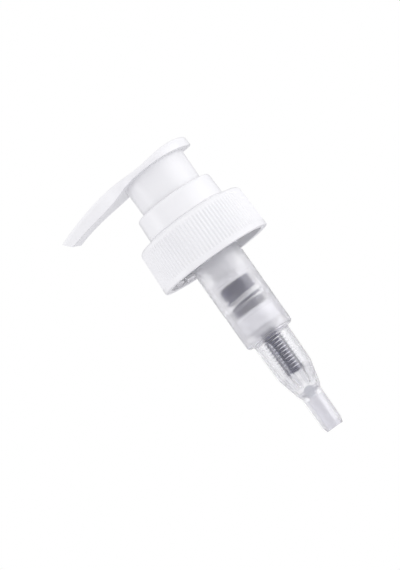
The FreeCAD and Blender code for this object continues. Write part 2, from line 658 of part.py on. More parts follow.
def side_profile():
    """The head's side view as a solid across its whole width: crowned back, saddle and slanted tip."""
    top = Part.BSplineCurve()
    top.interpolate([flat(TIP_TOP)] + [flat(p) for p in TOP_LINE])
    lower = Part.BSplineCurve()
    lower.interpolate([flat(TIP_FOOT)] + [flat(p) for p in LOWER_LINE])
    back = Part.makeLine(flat(TOP_LINE[-1]), flat(LOWER_LINE[-1]))
    nose = Part.makeLine(flat(TIP_FOOT), flat(TIP_TOP))
    face = Part.Face(Part.Wire(Part.__sortEdges__([top.toShape(), back, lower.toShape(), nose])))
    face.translate(FreeCAD.Vector(0, -HEAD_SPAN / 2, 0))
    return face.extrude(FreeCAD.Vector(0, HEAD_SPAN, 0))


def shifted(shape, x, z):
    copy = shape.copy()
    copy.translate(FreeCAD.Vector(x, 0, z))
    return copy


def actuator_cover():
    """Leaf-shaped top of the head: a crowned skin with side walls, open below and at the outlet."""
    profile = side_profile()
    outer = profile.common(leaf(0))
    crown = max(outer.Faces, key=lambda face: face.CenterOfMass.z)
    rim = [edge for edge in crown.Edges if edge.BoundBox.XLength > EDGE_ROUND]
    outer = outer.makeFillet(EDGE_ROUND, rim)
    hollow = leaf(COVER_WALL).common(shifted(profile, 0, -COVER_SKIN))
    below = shifted(hollow, 0, -PAST)
    return outer.cut([hollow, below]).removeSplitter()


def actuator_body():
    """Neck, stem socket, flow duct and underside of the head, with the locking lugs at the neck's foot."""
    profile = side_profile()
    inside = leaf(COVER_WALL + SEAM).common(profile)
    inside = inside.common(shifted(profile, 0, -COVER_SKIN - SEAM))
    duct_end_x = STEM_BORE_R + EDGE_BREAK
    along_duct = slab(TIP_TOP[0], duct_end_x + DUCT_WALL, DUCT_HALF + DUCT_WALL, HEAD_LOW_Z, HEAD_HIGH_Z)
    rails = inside.common(along_duct)
    neck = turned([
        (HEAD_NECK_BORE_R, NECK_FOOT_Z),
        (NECK_FOOT_OUTER_R, NECK_FOOT_Z),
        (NECK_TOP_OUTER_R, NECK_JOIN_Z),
        (NECK_TOP_OUTER_R, NECK_END_Z),
        (HEAD_NECK_BORE_R, NECK_END_Z),
    ])
    mid_wall_r = HEAD_NECK_BORE_R + NECK_WALL / 2
    lug = sector(mid_wall_r, LUG_R, NECK_FOOT_Z, NECK_FOOT_Z + LUG_HEIGHT, LUG_ANGLE)
    socket = drum(STEM_R + RUN + SOCKET_WALL, SOCKET_FOOT_Z, NECK_END_Z)
    trough = slab(-mid_wall_r, STEM_R, DUCT_HALF + DUCT_WALL, DUCT_FLOOR_Z - DUCT_WALL, NECK_END_Z)
    solid = inside.fuse([neck, socket, trough] + ring_of(lug, RIDGES))
    above_plate = shifted(profile, NOSE, PLATE)
    solid = solid.cut(above_plate).fuse(rails)

    bead = turned([
        (STEM_R - STEM_GROOVE_DEPTH + RUN, STEM_GROOVE_Z + STEM_GROOVE_HEIGHT / 2),
        (STEM_R + RUN + SOCKET_WALL / 2, STEM_GROOVE_Z + RUN),
        (STEM_R + RUN + SOCKET_WALL / 2, STEM_GROOVE_Z + STEM_GROOVE_HEIGHT - RUN),
    ])
    bore = drum(STEM_R + RUN, SOCKET_FOOT_Z, STEM_TOP_Z + RUN)
    riser = drum(STEM_BORE_R, STEM_TOP_Z, DUCT_FLOOR_Z + DUCT_WALL)
    duct = shifted(profile, 0, PLATE)
    spout_flow = duct.fuse(shifted(duct, -PAST, 0)).common(
        slab(TIP_TOP[0] - PAST, DUCT_LEAVES_X + DUCT_WALL, DUCT_HALF, HEAD_LOW_Z, HEAD_HIGH_Z))
    neck_flow = plate_of([
        (DUCT_LEAVES_X, HEAD_HIGH_Z),
        (DUCT_LEAVES_X, DUCT_FLOOR_Z + DUCT_RISE),
        (-STEM_BORE_R, DUCT_FLOOR_Z),
        (duct_end_x, DUCT_FLOOR_Z),
        (duct_end_x, HEAD_HIGH_Z),
    ], 2 * DUCT_HALF)
    return solid.cut([bore, riser, spout_flow, neck_flow]).fuse(bead).removeSplitter()


PIECES = {
    "actuator_cover": actuator_cover,
    "actuator_body": actuator_body,
    "locking_collar": locking_collar,
    "closure": closure,
    "neck_gasket": neck_gasket,
    "pump_housing": pump_housing,
    "inner_plug": inner_plug,
    "stem_seal": stem_seal,
    "stem": stem,
    "piston_shaft": piston_shaft,
    "piston": piston,
    "piston_spring": piston_spring,
    "return_spring": return_spring,
    "check_ball": check_ball,
}

os.makedirs("parts", exist_ok=True)
for name, make in PIECES.items():
    shape = make()
    shape.exportStep(f"parts/{name}.step")
    print(f"{name}: {len(shape.Solids)} solid, valid {shape.isValid()}, {shape.Volume:.1f} mm3")
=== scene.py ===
"""Looks of a lotion dispenser pump: a white moulded head, collar and closure on a translucent barrel."""
import math

import bmesh
import bpy
from mathutils import Matrix, Vector


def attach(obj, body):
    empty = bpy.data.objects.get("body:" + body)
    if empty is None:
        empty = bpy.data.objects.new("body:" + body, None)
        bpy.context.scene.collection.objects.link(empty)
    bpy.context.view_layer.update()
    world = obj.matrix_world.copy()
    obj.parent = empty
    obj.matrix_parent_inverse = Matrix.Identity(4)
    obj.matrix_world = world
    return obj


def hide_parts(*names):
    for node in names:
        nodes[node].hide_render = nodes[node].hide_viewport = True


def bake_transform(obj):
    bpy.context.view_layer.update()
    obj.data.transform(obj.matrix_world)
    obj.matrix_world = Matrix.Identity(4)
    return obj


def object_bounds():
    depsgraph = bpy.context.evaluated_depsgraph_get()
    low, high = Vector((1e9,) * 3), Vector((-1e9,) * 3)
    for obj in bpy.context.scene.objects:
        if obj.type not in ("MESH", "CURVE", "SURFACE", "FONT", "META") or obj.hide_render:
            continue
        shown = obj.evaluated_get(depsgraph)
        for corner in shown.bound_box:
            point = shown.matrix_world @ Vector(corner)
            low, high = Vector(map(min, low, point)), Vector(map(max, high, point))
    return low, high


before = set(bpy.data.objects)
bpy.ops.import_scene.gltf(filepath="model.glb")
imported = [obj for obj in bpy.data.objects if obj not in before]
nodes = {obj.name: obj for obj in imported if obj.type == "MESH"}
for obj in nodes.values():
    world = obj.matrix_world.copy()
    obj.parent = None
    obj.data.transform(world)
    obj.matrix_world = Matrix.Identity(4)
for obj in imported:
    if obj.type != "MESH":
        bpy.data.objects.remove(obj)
cad_low, cad_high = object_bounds()
scene = bpy.context.scene
scene.view_settings.view_transform = "Standard"


# ------------------------------------------------------------------ camera
# A long lens looks at the pump from slightly below.
# The picture is rolled, so that the pump leans with its spout to the left.
CAMERA_AIM = Vector((-0.008906, 0, -0.014663))
CAMERA_AZIMUTH = math.radians(13)
CAMERA_ELEVATION = math.radians(-4.85)
CAMERA_ROLL = math.radians(35.29)
CAMERA_DISTANCE = 0.95
CAMERA_LENS = 194.8
CAMERA_SENSOR = 36


def facing(azimuth, elevation, distance):
    """The place at that distance from the aim, turned to look back at it."""
    way = Vector((math.sin(azimuth) * math.cos(elevation),
                  -math.cos(azimuth) * math.cos(elevation),
                  math.sin(elevation)))
    turn = way.to_track_quat("Z", "Y").to_matrix().to_4x4()
    return Matrix.Translation(CAMERA_AIM + way * distance) @ turn


camera_data = bpy.data.cameras.new("camera")
camera_data.sensor_fit = "VERTICAL"
camera_data.sensor_height = CAMERA_SENSOR
camera_data.lens = CAMERA_LENS
camera = bpy.data.objects.new("camera", camera_data)
scene.collection.objects.link(camera)
camera.matrix_world = (facing(CAMERA_AZIMUTH, CAMERA_ELEVATION, CAMERA_DISTANCE)
                       @ Matrix.Rotation(-CAMERA_ROLL, 4, "Z"))
scene.camera = camera


# ------------------------------------------------------------------ studio
# A pale paper floor lies well below the pump, in a white room with two soft boxes.
# The camera sees the room as pure white, also through clear plastic, and the pump is lit at a plain level.
FLOOR_HALF = 18.0
FLOOR_DROP = 1.0
FLOOR_COLOUR = (0.84, 0.84, 0.855, 1)
FLOOR_ROUGHNESS = 0.9
FIBRE_SCALE = 900
FIBRE_STRENGTH = 0.1
FIBRE_DEPTH = 0.0002
ROOM_COLOUR = (0.985, 0.98, 1.0, 1)
ROOM_SEEN = (1, 1, 1, 1)
ROOM_TOP = Vector((-0.2, -0.35, 0.9))      # towards the room's brightest part
ROOM_DIM = 0.88
ROOM_BRIGHT = 1.0
ROOM_BACK = Vector((-0.22, 0.97, 0.1))     # towards the dark part behind the pump
ROOM_BACK_EDGE = 0.7                       # cosine of that part's half angle
ROOM_BACK_SHARE = 0.25
SOFT_BOXES = {                             # azimuth, elevation, distance, width, height and power
    "key_strip": (math.radians(80), math.radians(3), 0.9, 1.05, 0.26, 2.0),
    "left_box": (math.radians(-65), math.radians(15), 1.3, 0.5, 0.5, 1.6),
}


def bumped(tree, height, strength, depth):
    """Raises a shader's surface by a height from 0 to 1 times the depth."""
    bump = tree.nodes.new("ShaderNodeBump")
    bump.inputs["Strength"].default_value = strength
    bump.inputs["Distance"].default_value = depth
    tree.links.new(height, bump.inputs["Height"])
    tree.links.new(bump.outputs["Normal"], tree.nodes["Principled BSDF"].inputs["Normal"])


floor_shape = bmesh.new()
bmesh.ops.create_grid(floor_shape, x_segments=1, y_segments=1, size=FLOOR_HALF,
                      matrix=Matrix.Translation((0, 0, cad_low[2] - FLOOR_DROP)))
floor_mesh = bpy.data.meshes.new("floor")
floor_shape.to_mesh(floor_mesh)
floor_shape.free()
floor = bpy.data.objects.new("floor", floor_mesh)
scene.collection.objects.link(floor)

paper = bpy.data.materials.new("floor_paper")
paper.use_nodes = True
tree = paper.node_tree
shader = tree.nodes["Principled BSDF"]
shader.inputs["Base Color"].default_value = FLOOR_COLOUR
shader.inputs["Roughness"].default_value = FLOOR_ROUGHNESS
fibre = tree.nodes.new("ShaderNodeTexNoise")
fibre.inputs["Scale"].default_value = FIBRE_SCALE
bumped(tree, fibre.outputs["Fac"], FIBRE_STRENGTH, FIBRE_DEPTH)
floor_mesh.materials.append(paper)

room = bpy.data.worlds.new("room")
room.use_nodes = True
scene.world = room
tree = room.node_tree
tree.nodes.clear()
direction = tree.nodes.new("ShaderNodeTexCoord")
upward = tree.nodes.new("ShaderNodeVectorMath")
upward.operation = "DOT_PRODUCT"
upward.inputs[1].default_value = ROOM_TOP.normalized()
shade = tree.nodes.new("ShaderNodeMapRange")
shade.interpolation_type = "SMOOTHSTEP"
shade.inputs["From Min"].default_value = -1
shade.inputs["To Min"].default_value = ROOM_DIM
shade.inputs["To Max"].default_value = ROOM_BRIGHT
backward = tree.nodes.new("ShaderNodeVectorMath")
backward.operation = "DOT_PRODUCT"
backward.inputs[1].default_value = ROOM_BACK.normalized()
dimmer = tree.nodes.new("ShaderNodeMapRange")
dimmer.interpolation_type = "SMOOTHSTEP"
dimmer.inputs["From Min"].default_value = ROOM_BACK_EDGE
dimmer.inputs["To Min"].default_value = 1
dimmer.inputs["To Max"].default_value = ROOM_BACK_SHARE
strength = tree.nodes.new("ShaderNodeMath")
strength.operation = "MULTIPLY"
lit = tree.nodes.new("ShaderNodeBackground")
lit.inputs["Color"].default_value = ROOM_COLOUR
seen = tree.nodes.new("ShaderNodeBackground")
seen.inputs["Color"].default_value = ROOM_SEEN
path = tree.nodes.new("ShaderNodeLightPath")
straight = tree.nodes.new("ShaderNodeMath")
straight.operation = "MAXIMUM"
either = tree.nodes.new("ShaderNodeMixShader")
world_out = tree.nodes.new("ShaderNodeOutputWorld")
tree.links.new(direction.outputs["Generated"], upward.inputs[0])
tree.links.new(upward.outputs["Value"], shade.inputs["Value"])
tree.links.new(direction.outputs["Generated"], backward.inputs[0])
tree.links.new(backward.outputs["Value"], dimmer.inputs["Value"])
tree.links.new(shade.outputs["Result"], strength.inputs[0])
tree.links.new(dimmer.outputs["Result"], strength.inputs[1])
tree.links.new(strength.outputs[0], lit.inputs["Strength"])
tree.links.new(path.outputs["Is Camera Ray"], straight.inputs[0])
tree.links.new(path.outputs["Is Transmission Ray"], straight.inputs[1])
tree.links.new(straight.outputs[0], either.inputs["Fac"])
tree.links.new(lit.outputs[0], either.inputs[1])
tree.links.new(seen.outputs[0], either.inputs[2])
tree.links.new(either.outputs[0], world_out.inputs["Surface"])

for name, (azimuth, elevation, distance, width, height, power) in SOFT_BOXES.items():
    lamp_data = bpy.data.lights.new(name, "AREA")
    lamp_data.shape = "RECTANGLE"
    lamp_data.size = width
    lamp_data.size_y = height
    lamp_data.energy = power
    lamp = bpy.data.objects.new(name, lamp_data)
    scene.collection.objects.link(lamp)
    lamp.matrix_world = facing(azimuth, elevation, distance)


# ------------------------------------------------------------------ pump housing
# The barrel, spring chamber and tail are one moulding of unpigmented polypropylene.
# It is milky and see-through, frosted on the barrel and clearer on the ribbed spring chamber.
BARREL_CLEAR = (0.8, 0.795, 0.84, 1)
BARREL_MILKY = (0.85, 0.845, 0.88, 1)
# The inner faces' pale colour, which is also painted over the barrel's mouth as painted light.
BARREL_INNER_AND_PAINTED_LIGHT = (0.97, 0.97, 0.985, 1)
BARREL_TRANSMISSION = 0.88
BARREL_IOR = 1.2
BARREL_COAT_IOR = 2.1
BARREL_COAT_ROUGHNESS = 0.3
BARREL_FROST = 0.5                # least roughness of the barrel's faces
INNER_COAT = 0.1                  # gloss of the inner faces, where the outer ones have 1
MOUTH_PAINTED_LIGHT = 0.6                # how far the barrel's mouth takes the inner faces' paler colour, a painted light against the closure's shade
# Haze is what a wall keeps of the light: 0 lets everything through, and 1 nothing.
CHAMBER_HAZE = 0.58
BARREL_HAZE = 0.72
LOWER_BARREL_HAZE = 0.78
MOUTH_HAZE = 0.9
TAIL_HAZE = 0.92
EDGE_HAZE = 0.88
BORE_HAZE_SHARE = 0.2             # what the bores keep of the haze
# Heights and distances from the axis between which the look changes.
BARREL_FOOT_Z = (-0.0407, -0.0387)
LOWER_BARREL_FOOT_Z = (-0.0405, -0.0398)
LOWER_BARREL_TOP_Z = (-0.0325, -0.0300)
MOUTH_Z = (-0.0213, -0.0188)
TAIL_Z = (-0.0595, -0.0570)
BORE_R = (0.0076, 0.0079)
BORE_FOOT_Z = (-0.0388, -0.0384)
RIB_R = (0.0045, 0.0049)
RIB_FOOT_Z = (-0.0602, -0.0598)
RIB_TOP_Z = (-0.0412, -0.0402)
CHAMBER_BORE_R = (0.0052, 0.0055)
CHAMBER_FOOT_Z = (-0.0560, -0.0550)
CHAMBER_TOP_Z = (-0.0412, -0.0407)
PAINTED_LIGHT_Z = (-0.0200, -0.0150)
FROST_Z = (-0.0412, -0.0400)
EDGE_FACING = (0.15, 0.45)        # from 0, seen square on, to 1, seen edge on


def moulded_skin():
    """Node group: what an injection moulding's surface varies by, from its own coordinates."""
    group = bpy.data.node_groups.new("moulded skin", "ShaderNodeTree")
    face = group.interface
    face.new_socket("Vector", in_out="INPUT", socket_type="NodeSocketVector")
    for label in ("Cloud Scale", "Grain Scale", "Roughness", "Roughness Spread"):
        face.new_socket(label, in_out="INPUT", socket_type="NodeSocketFloat")
    for label in ("Clouds", "Roughness", "Height"):
        face.new_socket(label, in_out="OUTPUT", socket_type="NodeSocketFloat")
    entry = group.nodes.new("NodeGroupInput")
    leave = group.nodes.new("NodeGroupOutput")
    cloud = group.nodes.new("ShaderNodeTexNoise")
    cloud.inputs["Detail"].default_value = 3
    cloud.inputs["Roughness"].default_value = 0.55
    grain = group.nodes.new("ShaderNodeTexNoise")
    grain.inputs["Detail"].default_value = 2
    spread = group.nodes.new("ShaderNodeMath")
    spread.operation = "MULTIPLY_ADD"
    centre = group.nodes.new("ShaderNodeMath")
    centre.operation = "SUBTRACT"
    centre.inputs[1].default_value = 0.5
    soft = group.nodes.new("ShaderNodeMapRange")
    soft.inputs["From Min"].default_value = 0.3
    soft.inputs["From Max"].default_value = 0.7
    link = group.links.new
    link(entry.outputs["Vector"], cloud.inputs["Vector"])
    link(entry.outputs["Vector"], grain.inputs["Vector"])
    link(entry.outputs["Cloud Scale"], cloud.inputs["Scale"])
    link(entry.outputs["Grain Scale"], grain.inputs["Scale"])
    link(cloud.outputs["Fac"], soft.inputs["Value"])
    link(cloud.outputs["Fac"], centre.inputs[0])
    link(centre.outputs[0], spread.inputs[0])
    link(entry.outputs["Roughness Spread"], spread.inputs[1])
    link(entry.outputs["Roughness"], spread.inputs[2])
    link(soft.outputs["Result"], leave.inputs["Clouds"])
    link(spread.outputs[0], leave.inputs["Roughness"])
    link(grain.outputs["Fac"], leave.inputs["Height"])
    return group


SKIN = moulded_skin()
GRAIN_STRENGTH = 0.15
MIX_FIRST = 6                     # colour sockets of a Mix node, by their places among its sockets
MIX_SECOND = 7
MIX_COLOUR = 2


def two_colours(tree, factor, first, second):
    """A Mix node between two colours."""
    tint = tree.nodes.new("ShaderNodeMix")
    tint.data_type = "RGBA"
    tint.inputs[MIX_FIRST].default_value = first
    tint.inputs[MIX_SECOND].default_value = second
    tree.links.new(factor, tint.inputs["Factor"])
    return tint


def moulded(name, deep, pale, roughness, spread, cloud_scale, grain_scale=3000, grain_depth=0.000002):
    """A plastic of two close colours in soft clouds, with the mould's grain."""
    plastic = bpy.data.materials.new(name)
    plastic.use_nodes = True
    tree = plastic.node_tree
    shader = tree.nodes["Principled BSDF"]
    place = tree.nodes.new("ShaderNodeTexCoord")
    skin = tree.nodes.new("ShaderNodeGroup")
    skin.name = "skin"
    skin.node_tree = SKIN
    skin.inputs["Cloud Scale"].default_value = cloud_scale
    skin.inputs["Grain Scale"].default_value = grain_scale
    skin.inputs["Roughness"].default_value = roughness
    skin.inputs["Roughness Spread"].default_value = spread
    tint = two_colours(tree, skin.outputs["Clouds"], deep, pale)
    tint.name = "tint"
    tree.links.new(place.outputs["Object"], skin.inputs["Vector"])
    tree.links.new(tint.outputs[MIX_COLOUR], shader.inputs["Base Color"])
    tree.links.new(skin.outputs["Roughness"], shader.inputs["Roughness"])
    bumped(tree, skin.outputs["Height"], GRAIN_STRENGTH, grain_depth)
    return plastic


def height_in(tree):
    """The height of a surface's points, from its own coordinates."""
    place = tree.nodes.new("ShaderNodeTexCoord")
    split = tree.nodes.new("ShaderNodeSeparateXYZ")
    tree.links.new(place.outputs["Object"], split.inputs[0])
    return split.outputs["Z"]


def radius_in(tree):
    """The distance of a surface's points from the pump's axis."""
    place = tree.nodes.new("ShaderNodeTexCoord")
    flat = tree.nodes.new("ShaderNodeVectorMath")
    flat.operation = "MULTIPLY"
    flat.inputs[1].default_value = (1, 1, 0)
    from_axis = tree.nodes.new("ShaderNodeVectorMath")
    from_axis.operation = "LENGTH"
    tree.links.new(place.outputs["Object"], flat.inputs[0])
    tree.links.new(flat.outputs["Vector"], from_axis.inputs[0])
    return from_axis.outputs["Value"]


def step(tree, value, ends, below, above):
    """One number for values below a change and another above it, with a soft change between."""
    change = tree.nodes.new("ShaderNodeMapRange")
    change.interpolation_type = "SMOOTHSTEP"
    for label, number in (("From Min", ends[0]), ("From Max", ends[1]), ("To Min", below), ("To Max", above)):
        change.inputs[label].default_value = number
    tree.links.new(value, change.inputs["Value"])
    return change.outputs["Result"]


def evenly(tree, value, at_nought, at_one):
    """A number that runs in a straight line with a value from 0 to 1."""
    run = tree.nodes.new("ShaderNodeMapRange")
    run.inputs["To Min"].default_value = at_nought
    run.inputs["To Max"].default_value = at_one
    tree.links.new(value, run.inputs["Value"])
    return run.outputs["Result"]


def joined(tree, operation, first, *others):
    """Several values put together by one kind of Math node."""
    total = first
    for value in others:
        maths = tree.nodes.new("ShaderNodeMath")
        maths.operation = operation
        tree.links.new(total, maths.inputs[0])
        tree.links.new(value, maths.inputs[1])
        total = maths.outputs[0]
    return total


def wear(node, material):
    """Gives a CAD node its finished material."""
    for place in nodes[node].material_slots:
        place.material = material


frosted = moulded("frosted_polypropylene", BARREL_CLEAR, BARREL_MILKY, roughness=0.2, spread=0.04,
                  cloud_scale=70, grain_scale=2500)
tree = frosted.node_tree
shader = tree.nodes["Principled BSDF"]
shader.inputs["Transmission Weight"].default_value = BARREL_TRANSMISSION
shader.inputs["IOR"].default_value = BARREL_IOR
shader.inputs["Coat IOR"].default_value = BARREL_COAT_IOR
shader.inputs["Coat Roughness"].default_value = BARREL_COAT_ROUGHNESS
z = height_in(tree)
radius = radius_in(tree)
edge = tree.nodes.new("ShaderNodeLayerWeight")

# Masks of the inner faces: the barrel's bore, the guide ribs, and the chamber's bore between them.
bore = joined(tree, "MULTIPLY",
              step(tree, radius, BORE_R, 1, 0),
              step(tree, z, BORE_FOOT_Z, 0, 1))
ribs = joined(tree, "MULTIPLY",
              step(tree, radius, RIB_R, 1, 0),
              step(tree, z, RIB_TOP_Z, 1, 0),
              step(tree, z, RIB_FOOT_Z, 0, 1))
chamber_bore = joined(tree, "MULTIPLY",
                      step(tree, radius, CHAMBER_BORE_R, 1, 0),
                      step(tree, radius, RIB_R, 0, 1),
                      step(tree, z, CHAMBER_TOP_Z, 1, 0),
                      step(tree, z, CHAMBER_FOOT_Z, 0, 1))
bores = joined(tree, "MAXIMUM", bore, chamber_bore)
# The barrel's mouth, under the closure, is painted partly in the inner faces' paler colour: painted light
# that lifts the closure's shade there. The same mask takes gloss off the inner faces and off the mouth.
inner_faces_and_painted_mouth = joined(tree, "MAXIMUM", bores, ribs, step(tree, z, PAINTED_LIGHT_Z, 0, MOUTH_PAINTED_LIGHT))

# At each place the cloudiest of these counts, and the bores keep only a share of it.
lower_barrel = joined(tree, "MINIMUM",
                      step(tree, z, LOWER_BARREL_FOOT_Z, 0, LOWER_BARREL_HAZE),
                      step(tree, z, LOWER_BARREL_TOP_Z, LOWER_BARREL_HAZE, 0))
haze = joined(tree, "MAXIMUM",
              step(tree, z, BARREL_FOOT_Z, CHAMBER_HAZE, BARREL_HAZE),
              step(tree, z, MOUTH_Z, 0, MOUTH_HAZE),
              step(tree, z, TAIL_Z, TAIL_HAZE, 0),
              lower_barrel,
              step(tree, edge.outputs["Facing"], EDGE_FACING, 0, EDGE_HAZE))
haze = joined(tree, "MULTIPLY", haze, evenly(tree, bores, 1, BORE_HAZE_SHARE))
coat = step(tree, inner_faces_and_painted_mouth, (0, 1), 1, INNER_COAT)
frost = joined(tree, "MAXIMUM",
               tree.nodes["skin"].outputs["Roughness"],
               step(tree, z, FROST_Z, 0, BARREL_FROST))
lining_and_painted_light = two_colours(tree, inner_faces_and_painted_mouth, BARREL_CLEAR, BARREL_INNER_AND_PAINTED_LIGHT)
tree.links.new(tree.nodes["tint"].outputs[MIX_COLOUR], lining_and_painted_light.inputs[MIX_FIRST])
tree.links.new(lining_and_painted_light.outputs[MIX_COLOUR], shader.inputs["Base Color"])
tree.links.new(haze, shader.inputs["Alpha"])
tree.links.new(coat, shader.inputs["Coat Weight"])
tree.links.new(frost, shader.inputs["Roughness"])
wear("pump_housing", frosted)


# ------------------------------------------------------------------ check ball
# A 4 mm ball of ground and polished glass shuts the inlet when the pump is pushed down.
# Nothing fixes it: the feet of the guide ribs cage it loosely over its seat.
GLASS_COLOUR = (0.93, 0.96, 0.97, 1)
GLASS_IOR = 1.5

glass = moulded("ball_glass", GLASS_COLOUR, GLASS_COLOUR, roughness=0.05, spread=0.04,
                cloud_scale=200, grain_depth=0.000001)
shader = glass.node_tree.nodes["Principled BSDF"]
shader.inputs["Transmission Weight"].default_value = 1.0
shader.inputs["IOR"].default_value = GLASS_IOR
wear("check_ball", glass)


# ------------------------------------------------------------------ springs
# Both springs are wound from drawn stainless wire, with closed turns at their ends.
# The narrow one returns the plunger, and the wide one holds the piston on its valve.
# The wire's colours are painted dark and bluish, a painted reflection of the dim inside of the pump, where
# bare stainless steel would be pale grey.
WIRE_PAINTED_SHADE_DEEP = (0.02, 0.02, 0.05, 1)
WIRE_PAINTED_SHADE_PALE = (0.14, 0.14, 0.27, 1)
WIRE_BRIGHT = 0.15                # roughness where the die polished the wire
WIRE_DULL = 0.32
DRAWN_LENGTHWAYS = (1, 1, 6)
DRAWN_SCALE = 1500
DRAWN_STRENGTH = 0.3
DRAWN_DEPTH = 0.00001
WIRE_SIDES = 12
TURN_STEPS = 40
SMOOTH_UNDER = math.radians(40)

steel = bpy.data.materials.new("spring_wire")
steel.use_nodes = True
tree = steel.node_tree
shader = tree.nodes["Principled BSDF"]
shader.inputs["Metallic"].default_value = 1.0
place = tree.nodes.new("ShaderNodeTexCoord")
along = tree.nodes.new("ShaderNodeMapping")
along.inputs["Scale"].default_value = DRAWN_LENGTHWAYS
drawn = tree.nodes.new("ShaderNodeTexNoise")
drawn.inputs["Scale"].default_value = DRAWN_SCALE
drawn.inputs["Detail"].default_value = 3
tint = two_colours(tree, drawn.outputs["Fac"], WIRE_PAINTED_SHADE_DEEP, WIRE_PAINTED_SHADE_PALE)
rough = evenly(tree, drawn.outputs["Fac"], WIRE_BRIGHT, WIRE_DULL)
bumped(tree, drawn.outputs["Fac"], DRAWN_STRENGTH, DRAWN_DEPTH)
tree.links.new(place.outputs["Object"], along.inputs["Vector"])
tree.links.new(along.outputs["Vector"], drawn.inputs["Vector"])
tree.links.new(tint.outputs[MIX_COLOUR], shader.inputs["Base Color"])
tree.links.new(rough, shader.inputs["Roughness"])


def piece(name, shape, material):
    """A finished object from a bmesh, smooth where its faces meet at a small angle."""
    bmesh.ops.recalc_face_normals(shape, faces=shape.faces)
    mesh = bpy.data.meshes.new(name)
    shape.to_mesh(mesh)
    shape.free()
    mesh.materials.append(material)
    mesh.shade_smooth()
    mesh.set_sharp_from_angle(angle=SMOOTH_UNDER)
    obj = bpy.data.objects.new(name, mesh)
    scene.collection.objects.link(obj)
    return obj


def wound(name, coil_r, wire_r, low, high, closed_pitch, foot_turns, open_turns, top_turns, foot_at):
    """A coil of round wire between two heights. coil_r is to the outside of the wire."""
    shape = bmesh.new()
    start = Matrix.Translation((coil_r - wire_r, 0, low + wire_r)) @ Matrix.Rotation(math.pi / 2, 4, "X")
    bmesh.ops.create_circle(shape, cap_ends=True, segments=WIRE_SIDES, radius=wire_r, matrix=start)
    wire_end = list(shape.faces) + list(shape.edges) + list(shape.verts)
    climb = high - low - 2 * wire_r - closed_pitch * (foot_turns + top_turns)
    stretches = ((foot_turns, closed_pitch), (open_turns, climb / open_turns), (top_turns, closed_pitch))
    for turns, pitch in stretches:
        steps = round(turns * TURN_STEPS)
        wire_end = bmesh.ops.spin(shape, geom=wire_end, cent=(0, 0, 0), axis=(0, 0, 1),
                                  dvec=(0, 0, pitch * turns / steps), angle=math.tau * turns,
                                  steps=steps)["geom_last"]
    bmesh.ops.rotate(shape, verts=shape.verts, cent=(0, 0, 0), matrix=Matrix.Rotation(foot_at, 3, "Z"))
    return piece(name, shape, steel)


return_coil = wound("return_coil", coil_r=0.0029, wire_r=0.000375, low=-0.0538, high=-0.0382,
                    closed_pitch=0.00079, foot_turns=1.0, open_turns=11.5, top_turns=1.0, foot_at=0.0)
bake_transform(return_coil)
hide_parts("return_spring")

piston_coil = wound("piston_coil", coil_r=0.0053, wire_r=0.0004, low=-0.0307, high=-0.0202,
                    closed_pitch=0.00086, foot_turns=3.0, open_turns=1.4, top_turns=4.2,
                    foot_at=math.radians(190))
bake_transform(piston_coil)
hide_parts("piston_spring")


# ------------------------------------------------------------------ plunger
# The stem and the piston shaft are white mouldings pressed together.
# The piston slides on the shaft and is softer, so that its two lips seal on the barrel.
STEM_DEEP = (0.92, 0.92, 0.93, 1)
STEM_PALE = (0.96, 0.96, 0.965, 1)
PISTON_DEEP = (0.93, 0.93, 0.95, 1)
PISTON_PALE = (0.96, 0.96, 0.975, 1)
PISTON_HAZE = 0.95
CUP_HAZE = 0.1                    # the thin wall round the spring's foot
CUP_Z = (-0.0312, -0.0302)

stem_plastic = moulded("stem_plastic", STEM_DEEP, STEM_PALE, roughness=0.4, spread=0.1, cloud_scale=110)
wear("stem", stem_plastic)
wear("piston_shaft", stem_plastic)

piston_plastic = moulded("piston_plastic", PISTON_DEEP, PISTON_PALE, roughness=0.2, spread=0.05,
                         cloud_scale=120)
tree = piston_plastic.node_tree
cup = step(tree, height_in(tree), CUP_Z, PISTON_HAZE, CUP_HAZE)
tree.links.new(cup, tree.nodes["Principled BSDF"].inputs["Alpha"])
wear("piston", piston_plastic)


# ------------------------------------------------------------------ inner plug and seals
# A flanged bush guides the stem, and a rubber ring in its mouth wipes the stem clean.
# A foam washer under the housing's flange seals on the bottle's rim.
PLUG_DEEP = (0.79, 0.79, 0.81, 1)
PLUG_PALE = (0.84, 0.84, 0.85, 1)
RUBBER_DEEP = (0.55, 0.55, 0.56, 1)
RUBBER_PALE = (0.62, 0.62, 0.63, 1)
FOAM_DEEP = (0.76, 0.76, 0.77, 1)
FOAM_PALE = (0.86, 0.86, 0.87, 1)
FOAM_ROUGHNESS = 0.85
CELL_SCALE = 3500
CELL_STRENGTH = 0.6
CELL_DEPTH = 0.00005

plug_plastic = moulded("plug_plastic", PLUG_DEEP, PLUG_PALE, roughness=0.4, spread=0.1, cloud_scale=110)
wear("inner_plug", plug_plastic)
rubber = moulded("seal_rubber", RUBBER_DEEP, RUBBER_PALE, roughness=0.6, spread=0.15,
                 cloud_scale=300, grain_scale=5000)
wear("stem_seal", rubber)

foam = bpy.data.materials.new("gasket_foam")
foam.use_nodes = True
tree = foam.node_tree
shader = tree.nodes["Principled BSDF"]
shader.inputs["Roughness"].default_value = FOAM_ROUGHNESS
place = tree.nodes.new("ShaderNodeTexCoord")
cells = tree.nodes.new("ShaderNodeTexVoronoi")
cells.inputs["Scale"].default_value = CELL_SCALE
tint = two_colours(tree, cells.outputs["Distance"], FOAM_DEEP, FOAM_PALE)
bumped(tree, cells.outputs["Distance"], CELL_STRENGTH, CELL_DEPTH)
tree.links.new(place.outputs["Object"], cells.inputs["Vector"])
tree.links.new(tint.outputs[MIX_COLOUR], shader.inputs["Base Color"])
wear("neck_gasket", foam)


